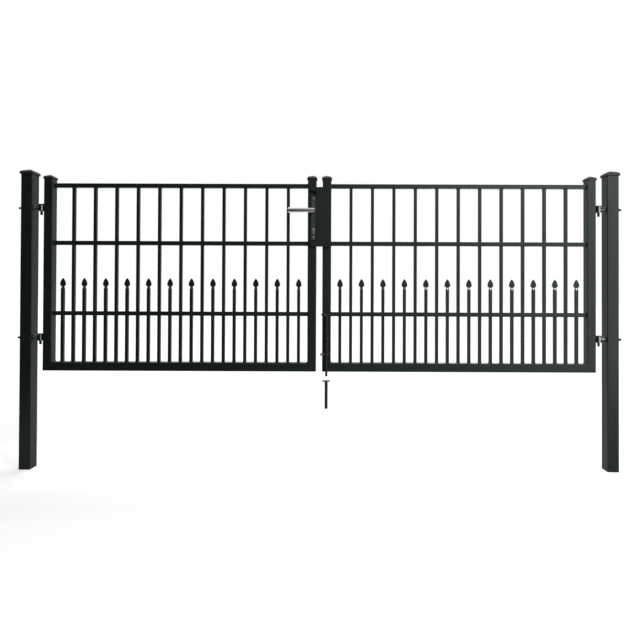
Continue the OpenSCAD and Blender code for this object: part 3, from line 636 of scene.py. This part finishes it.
def turned_disc(shape, centre, u, v, radius, rise, sunk, rings=16, spokes=40):
    """Adds a domed disc on its rim. sunk(x, y) says how deep its recess is at a place on it."""
    verts, faces = shape
    first, normal = len(verts), u.cross(v)
    for ring in range(rings + 1):
        for spoke in range(spokes):
            turn = 2 * math.pi * spoke / spokes
            x, y = (radius * ring / rings * f for f in (math.cos(turn), math.sin(turn)))
            height = rise * (1 - (ring / rings) ** 2) - sunk(x, y)
            verts.append(centre + u * x + v * y + normal * height)
    for spoke in range(spokes):
        turn = 2 * math.pi * spoke / spokes
        verts.append(centre + (u * math.cos(turn) + v * math.sin(turn)) * radius - normal * rise)
    for ring in range(rings + 1):
        for spoke in range(spokes):
            after = (spoke + 1) % spokes
            here, beyond = first + ring * spokes, first + (ring + 1) * spokes
            faces.append((here + spoke, here + after, beyond + after, beyond + spoke))
    faces.append(tuple(first + (rings + 1) * spokes + i for i in range(spokes)))


def cross_slot(x, y):
    """Depth of a screw head's cross recess."""
    near, far = sorted((abs(x), abs(y)))
    return slot_depth if near < slot_half and far < slot_reach else 0.0


def turned(u, v, degrees):
    """Two axes of a disc, turned in its own plane."""
    c, s = math.cos(math.radians(degrees)), math.sin(math.radians(degrees))
    return u * c + v * s, v * c - u * s


def screw_heads(name, body, u, radius, rise, *spots):
    """The screws that hold a plate, each with its place and the turn of its cross."""
    heads = ([], [])
    for spot, degrees in spots:
        turned_disc(heads, Vector(spot), *turned(u, along_z, degrees), radius, rise, cross_slot)
    new_piece(name, heads, dark_zinc, body)


satin_plate = drawn_finish("satin_plate", plate_tone, plate_dark_tone, plate_brushing, plate_dullness)
plate_low, plate_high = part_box("front_backplate")
plate_x = (plate_low.x + plate_high.x) / 2
dress(satin_plate, "front_backplate", "back_backplate")
soften(plate_edge_round, 3, "front_backplate", "back_backplate")
for side, y, u in (("front", plate_low.y, along_x), ("back", -plate_low.y, -along_x)):
    upper = (plate_x, y, plate_high.z - screw_inset)
    lower = (plate_x, y, plate_low.z + screw_inset)
    screws = side + "_plate_screws"
    screw_heads(screws, "left_leaf", u, screw_radius, screw_rise, (upper, 20), (lower, 65))

# Key cylinder: a profile cylinder of nickelled brass right through the stile, held by a screw in
# the forend. A round plug with the keyway turns in each face.
nickel_tone = (0.26, 0.255, 0.24, 1)
nickel_dark_tone = (0.17, 0.166, 0.155, 1)
plug_radius = 0.0064
plug_rise = 0.0004
plug_drop = 0.0085
keyway_half = 0.0009
keyway_reach = 0.0052
keyway_depth = 0.004
step_width = 0.0019
step_span = (-0.002, 0.0012)
step_depth = 0.0025
nickel_brushing = (200.0, 20.0, 1500.0)
nickel_dullness = 0.28
key_edge_round = 0.0005


def key_slot(x, y):
    """Depth of the keyway in the plug's face, with its side step."""
    if abs(x) < keyway_half and abs(y) < keyway_reach:
        return keyway_depth
    return step_depth if 0 < x < step_width and step_span[0] < y < step_span[1] else 0.0


satin_nickel = drawn_finish("satin_nickel", nickel_tone, nickel_dark_tone, nickel_brushing, nickel_dullness)
key_low, key_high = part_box("key_cylinder")
key_z = key_high.z - plug_drop
dress(satin_nickel, "key_cylinder")
soften(key_edge_round, 2, "key_cylinder")
plugs = ([], [])
for y, u in ((key_low.y, along_x), (key_high.y, -along_x)):
    spot = Vector((plate_x, y, key_z))
    turned_disc(plugs, spot, u, along_z, plug_radius, plug_rise, key_slot, rings=28, spokes=56)
new_piece("key_plugs", plugs, satin_nickel, "left_leaf")

# Forend and latch: a strip of plated steel on the lock stile's edge with the sprung latch's
# bevelled nose, screwed through the stile at both ends.
edge_screw_radius = 0.0036
edge_screw_rise = 0.001
edge_screw_inset = 0.011
strip_brushing = (1400.0, 1400.0, 14.0)
strip_dullness = 0.3
strip_edge_round = 0.0004
forend_t = 0.0025
forend_low, forend_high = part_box("lock_forend")
forend_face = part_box("left_meeting_stile")[1].x + forend_t
plated_strip = drawn_finish("plated_strip", zinc_tone, zinc_blue_tone, strip_brushing, strip_dullness)
dress(plated_strip, "lock_forend")
soften(strip_edge_round, 2, "lock_forend")
upper = (forend_face, 0, forend_high.z - edge_screw_inset)
lower = (forend_face, 0, forend_low.z + edge_screw_inset)
screw_heads(
    "forend_screws", "left_leaf", along_y, edge_screw_radius, edge_screw_rise, (upper, 10), (lower, 50)
)

# Lever and knob: a polished steel lever in front on a sprung square spindle, a round neck and a
# flat grip that widens to a round end, and behind it a fixed pull knob turned from the same steel.
lever_tone = (0.55, 0.55, 0.54, 1)
lever_dark_tone = (0.44, 0.44, 0.435, 1)
lever_brushing = (14.0, 1600.0, 1600.0)
lever_dullness = 0.11
lever_edge_round = 0.0012
polished_lever = drawn_finish("polished_lever", lever_tone, lever_dark_tone, lever_brushing, lever_dullness)
dress(polished_lever, "front_lever", "back_knob")
soften(lever_edge_round, 3, "front_lever", "back_knob")
dress(dark_zinc, "spindle")

# Stop plate: a flame-cut steel sheet in front of the meeting stiles, welded to a packing bar on
# the right leaf. Its two ears lap the lock stile and stop the left leaf as it closes.
stitch_leg = 0.0028
stitch_length = 0.03
stitch_count = 4
stop_edge_round = 0.0007
dress(plate_coat, "stop_plate", "stop_packing")
soften(stop_edge_round, 2, "stop_plate", "stop_packing")
pack_low, pack_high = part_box("stop_packing")
welds = ([], [])
for x, out in ((pack_low.x, -along_x), (pack_high.x, along_x)):
    for i in range(stitch_count):
        start_z = pack_low.z + (pack_high.z - pack_low.z - stitch_length) * i / (stitch_count - 1)
        for y, up in ((pack_high.y, -along_y), (pack_low.y, along_y)):
            ends = Vector((x, y, start_z)), Vector((x, y, start_z + stitch_length))
            lay_weld(welds, straight_run(*ends, out), up, stitch_leg)
new_piece("stop_plate_welds", welds, plate_coat, "right_leaf")

# Strike plate: a slotted strip of plated steel on the right meeting stile, opposite the latch.
# A screw at each end holds it.
strike_low, strike_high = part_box("strike_plate")
dress(plated_strip, "strike_plate")
soften(strip_edge_round, 2, "strike_plate")
upper = (strike_low.x, 0, strike_high.z - edge_screw_inset)
lower = (strike_low.x, 0, strike_low.z + edge_screw_inset)
screw_heads(
    "strike_screws", "right_leaf", -along_y, edge_screw_radius, edge_screw_rise, (upper, 35), (lower, 80)
)

# Drop bolt: a round bar with its top bent over for a handle, sliding in two bored lugs that are
# welded to the stile. The lugs rub its coat thin, and a knurled thumb screw clamps it.
guide_leg = 0.0026
guide_h = 0.014
guide_edge_round = 0.0006
dress(plate_coat, "drop_bolt_guides")
soften(guide_edge_round, 2, "drop_bolt_guides")
guide_low, guide_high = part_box("drop_bolt_guides")
guide_x = (guide_low.x + guide_high.x) / 2
welds = ([], [])
for z in (guide_low.z + guide_h / 2, guide_high.z - guide_h / 2):
    foot = Vector((guide_x, guide_high.y, z))
    run = loop_run(foot, along_x, along_z, (guide_high.x - guide_low.x) / 2, guide_h / 2, flat_corner)
    lay_weld(welds, run, -along_y, guide_leg, True)
new_piece("guide_welds", welds, plate_coat, "right_leaf")

rod_dust = 0.12
rub_lines = (600.0, 600.0, 9.0)
rub_span = (0.56, 0.72)
rub_most = 0.55
rubbed_bar = coated("rubbed_bar", 0.0, rod_dust)
tree = rubbed_bar.node_tree
shader = tree.nodes["Principled BSDF"]
place = node(tree, "TexCoord").outputs["Object"]
drawn = node(tree, "VectorMath", {0: place, 1: rub_lines}, operation="MULTIPLY").outputs[0]
rub_mask = spread(tree, speckle(tree, drawn, 1.0, 4.0), *rub_span, 0.0, rub_most)
under = shader.inputs["Base Color"].links[0].from_socket
tree.links.new(blended(tree, rub_mask, under, thin_coat_tone), shader.inputs["Base Color"])
dress(rubbed_bar, "drop_rod")

head_t = 0.009
shank_r = 0.003
clamp_edge_round = 0.0005
knurl_count = 36
knurl_height = 0.00045
knurl_from = 0.0006
knurl_full = 0.0012
knurl_valley = 0.15
knurl_root = -2.0
thread_pitch = 0.001
thread_height = 0.0004
thread_root = -0.0002
thread_half = 0.45
thread_steps = 20
screw_low, screw_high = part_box("clamp_screw")
screw_mid = (screw_low + screw_high) / 2
head_r = (screw_high.z - screw_low.z) / 2


def round_screw(x, reach, turn):
    """A point round the thumb screw's axis."""
    return Vector((x, screw_mid.y + reach * math.cos(turn), screw_mid.z + reach * math.sin(turn)))


dress(dark_zinc, "clamp_screw")
soften(clamp_edge_round, 2, "clamp_screw")
knurl = ([], [])
profile = (
    (knurl_from, 0.0), (knurl_full, 1.0), (head_t - knurl_full, 1.0),
    (head_t - knurl_from, 0.0), (head_t - knurl_from, knurl_root), (knurl_from, knurl_root),
)
for i in range(2 * knurl_count):
    turn = math.pi * i / knurl_count
    for along, lift in profile:
        ridge = knurl_height * (lift if i % 2 == 0 or lift < 0 else knurl_valley * lift)
        knurl[0].append(round_screw(screw_low.x + along, head_r + ridge, turn))
for i in range(2 * knurl_count):
    here, after = i * len(profile), (i + 1) % (2 * knurl_count) * len(profile)
    for k in range(len(profile)):
        n = (k + 1) % len(profile)
        knurl[1].append((here + k, here + n, after + n, after + k))
new_piece("thumb_screw_knurl", knurl, dark_zinc, "right_leaf")

thread = ([], [])
thread_from = screw_low.x + head_t
turns = round((guide_low.x - thread_from) / thread_pitch)
for i in range(turns * thread_steps + 1):
    turn = 2 * math.pi * i / thread_steps
    x = thread_from + thread_pitch * i / thread_steps
    for shift, rise in ((-thread_half, thread_root), (0.0, thread_height), (thread_half, thread_root)):
        thread[0].append(round_screw(x + shift * thread_pitch, shank_r + rise, turn))
for i in range(turns * thread_steps):
    for k in range(3):
        n = (k + 1) % 3
        thread[1].append((3 * i + k, 3 * i + n, 3 * i + 3 + n, 3 * i + 3 + k))
thread[1].extend([(0, 1, 2), tuple(len(thread[0]) - k for k in (1, 2, 3))])
new_piece("thumb_screw_thread", thread, dark_zinc, "right_leaf")

# Ground sleeve: a length of tube with a washer welded round its mouth, coated with the gate and
# set in the paving under the drop bolt.
sleeve_leg = 0.0024
sleeve_r = 0.0081
sleeve_corner = 0.008
sleeve_edge_round = 0.0006
flange_t = 0.003
dress(plate_coat, "ground_sleeve")
soften(sleeve_edge_round, 2, "ground_sleeve")
sleeve_low, sleeve_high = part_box("ground_sleeve")
sleeve_x = (sleeve_low.x + sleeve_high.x) / 2
sleeve_y = (sleeve_low.y + sleeve_high.y) / 2
foot = Vector((sleeve_x, sleeve_y, sleeve_high.z - flange_t))
welds = ([], [])
run = loop_run(foot, along_x, along_y, sleeve_r, sleeve_r, sleeve_corner)
lay_weld(welds, run, -along_z, sleeve_leg, True)
new_piece("sleeve_weld", welds, plate_coat, "posts")

# Studio: a pale floor that runs out to white and a white surround. Soft boxes light the gate from
# the upper right, from above and, two of them, from behind. A graded cloth in front, dark on the left
# and bright on the right, shows only in what the gate reflects.
gate_middle_x = 1.521
floor_tone = (0.5, 0.5, 0.5)
floor_size = 60.0
floor_gloss = 0.2
floor_roughness = 0.9
floor_mottle_scale = 3.0
floor_fade = (2.2, 6.0)
floor_lift = 0.6
surround_level = 0.08
cloth_slope = (0.9, 5.2, 0.0, 2.8)
cloth_bright_end = (3.2, 5.4, 0.0, 1.4)
cloth_left, cloth_right = -8, 9
cloth_top = 4
cloth_wall = -4.4
cloth_front = -1.35
cloth_lift = 0.003


def seen_white(tree):
    """1 for the rays that show the background: camera, glossy and transmission."""
    rays = node(tree, "LightPath").outputs
    shown = calc(tree, "MAXIMUM", rays["Is Camera Ray"], rays["Is Glossy Ray"])
    return calc(tree, "MAXIMUM", shown, rays["Is Transmission Ray"])


def stage_plane(name, corners, material):
    """A flat sheet of the studio, which is no piece of the gate."""
    mesh = bpy.data.meshes.new(name)
    mesh.from_pydata(corners, [], [(0, 1, 2, 3)])
    mesh.materials.append(material)
    plane = bpy.data.objects.new(name, mesh)
    bpy.context.scene.collection.objects.link(plane)
    return plane


pale_floor, tree, shader = finish("pale_floor", 0.0, floor_gloss)
shader.inputs["Roughness"].default_value = floor_roughness
place = node(tree, "TexCoord").outputs["Object"]
middle = (gate_middle_x, 0, 0)
apart = node(tree, "VectorMath", {0: place, 1: middle}, operation="DISTANCE").outputs["Value"]
mottle = spread(tree, speckle(tree, place, floor_mottle_scale, 3.0), *noise_span, 0.98, 1.02)
tree.links.new(scaled(tree, floor_tone, mottle), shader.inputs["Base Color"])
glow = spread(tree, apart, *floor_fade, floor_lift, 1.0)
glow = calc(tree, "MULTIPLY", glow, seen_white(tree))
white = node(tree, "Emission", {"Color": (1, 1, 1, 1), "Strength": glow})
both = node(tree, "AddShader", {0: shader.outputs[0], 1: white.outputs[0]})
tree.links.new(both.outputs[0], tree.nodes["Material Output"].inputs["Surface"])
far = floor_size / 2
stage_plane("floor", [(-far, -far, 0), (far, -far, 0), (far, far, 0), (-far, far, 0)], pale_floor)

graded_cloth, tree, shader = finish("graded_cloth", 0.0, 0.1)
across = node(tree, "SeparateXYZ", {0: node(tree, "TexCoord").outputs["Object"]}).outputs[0]
lit = calc(tree, "ADD", spread(tree, across, *cloth_slope), spread(tree, across, *cloth_bright_end))
cloth = node(tree, "Emission", {"Color": (1, 1, 1, 1), "Strength": lit})
tree.links.new(cloth.outputs[0], tree.nodes["Material Output"].inputs["Surface"])
for name, near_edge, far_edge in (
    ("screen_wall", (cloth_wall, 0), (cloth_wall, cloth_top)),
    ("screen_foot", (cloth_wall, cloth_lift), (cloth_front, cloth_lift)),
):
    corners = [(x, *near_edge) for x in (cloth_left, cloth_right)]
    corners += [(x, *far_edge) for x in (cloth_right, cloth_left)]
    screen = stage_plane(name, corners, graded_cloth)
    screen.visible_camera = False
    screen.visible_diffuse = False
    screen.visible_shadow = False

world = bpy.data.worlds.new("white_surround")
bpy.context.scene.world = world
world.use_nodes = True
tree = world.node_tree
shown = seen_white(tree)
level = spread(tree, shown, 0.0, 1.0, surround_level, 1.0)
tree.links.new(level, tree.nodes["Background"].inputs["Strength"])
tree.nodes["Background"].inputs["Color"].default_value = (1, 1, 1, 1)


def soft_box(name, spot, aim, width, height, watts):
    """An area light at a spot, turned towards its aim."""
    lamp = bpy.data.lights.new(name, "AREA")
    lamp.shape = "RECTANGLE"
    lamp.size, lamp.size_y, lamp.energy = width, height, watts
    box = bpy.data.objects.new(name, lamp)
    box.location = spot
    box.rotation_euler = (Vector(aim) - Vector(spot)).to_track_quat("-Z", "Y").to_euler()
    box.visible_camera = False
    bpy.context.scene.collection.objects.link(box)


soft_box("key_box", spot=(3.6, -2.2, 2.85), aim=(3.1, 0, 1.0), width=2.2, height=0.9, watts=115)
soft_box("rim_box", spot=(3.45, 2.6, 0.82), aim=(2.5, 0, 0.62), width=1.8, height=0.75, watts=9)
soft_box("top_box", spot=(1.52, 0.9, 3.8), aim=(1.52, 0.9, 0), width=5.0, height=2.0, watts=60)
soft_box("back_box", spot=(1.3, 2.8, 4.0), aim=(1.5, 0, 0.8), width=4.0, height=1.2, watts=110)

# Camera: a little below the middle of the leaves and right of the meeting stiles, with the
# fitted place, lens, tilt and crop of the photograph.
camera_spot = Vector((1.62423, -2.54855, 0.92468))
camera_yaw, camera_pitch, camera_roll = -0.0022, 0.0083, -0.0037
lens_pixels, picture_pixels, axis_column, axis_row = 486.70, 640, 338.0, 287.80
forward = Vector((
    math.sin(camera_yaw) * math.cos(camera_pitch),
    math.cos(camera_yaw) * math.cos(camera_pitch),
    math.sin(camera_pitch),
))
level_right = Vector((math.cos(camera_yaw), -math.sin(camera_yaw), 0))
level_down = forward.cross(level_right)
tilted_right = level_right * math.cos(camera_roll) + level_down * math.sin(camera_roll)
tilted_down = level_down * math.cos(camera_roll) - level_right * math.sin(camera_roll)
lens = bpy.data.cameras.new("camera")
lens.sensor_width = 36
lens.lens = lens_pixels * lens.sensor_width / picture_pixels
lens.shift_x = (picture_pixels / 2 - axis_column) / picture_pixels
lens.shift_y = (axis_row - picture_pixels / 2) / picture_pixels
camera = bpy.data.objects.new("camera", lens)
turn = Matrix((tilted_right, -tilted_down, -forward)).transposed()
camera.matrix_world = Matrix.Translation(camera_spot) @ turn.to_4x4()
bpy.context.scene.collection.objects.link(camera)
bpy.context.scene.camera = camera
bpy.context.scene.view_settings.view_transform = "Standard"
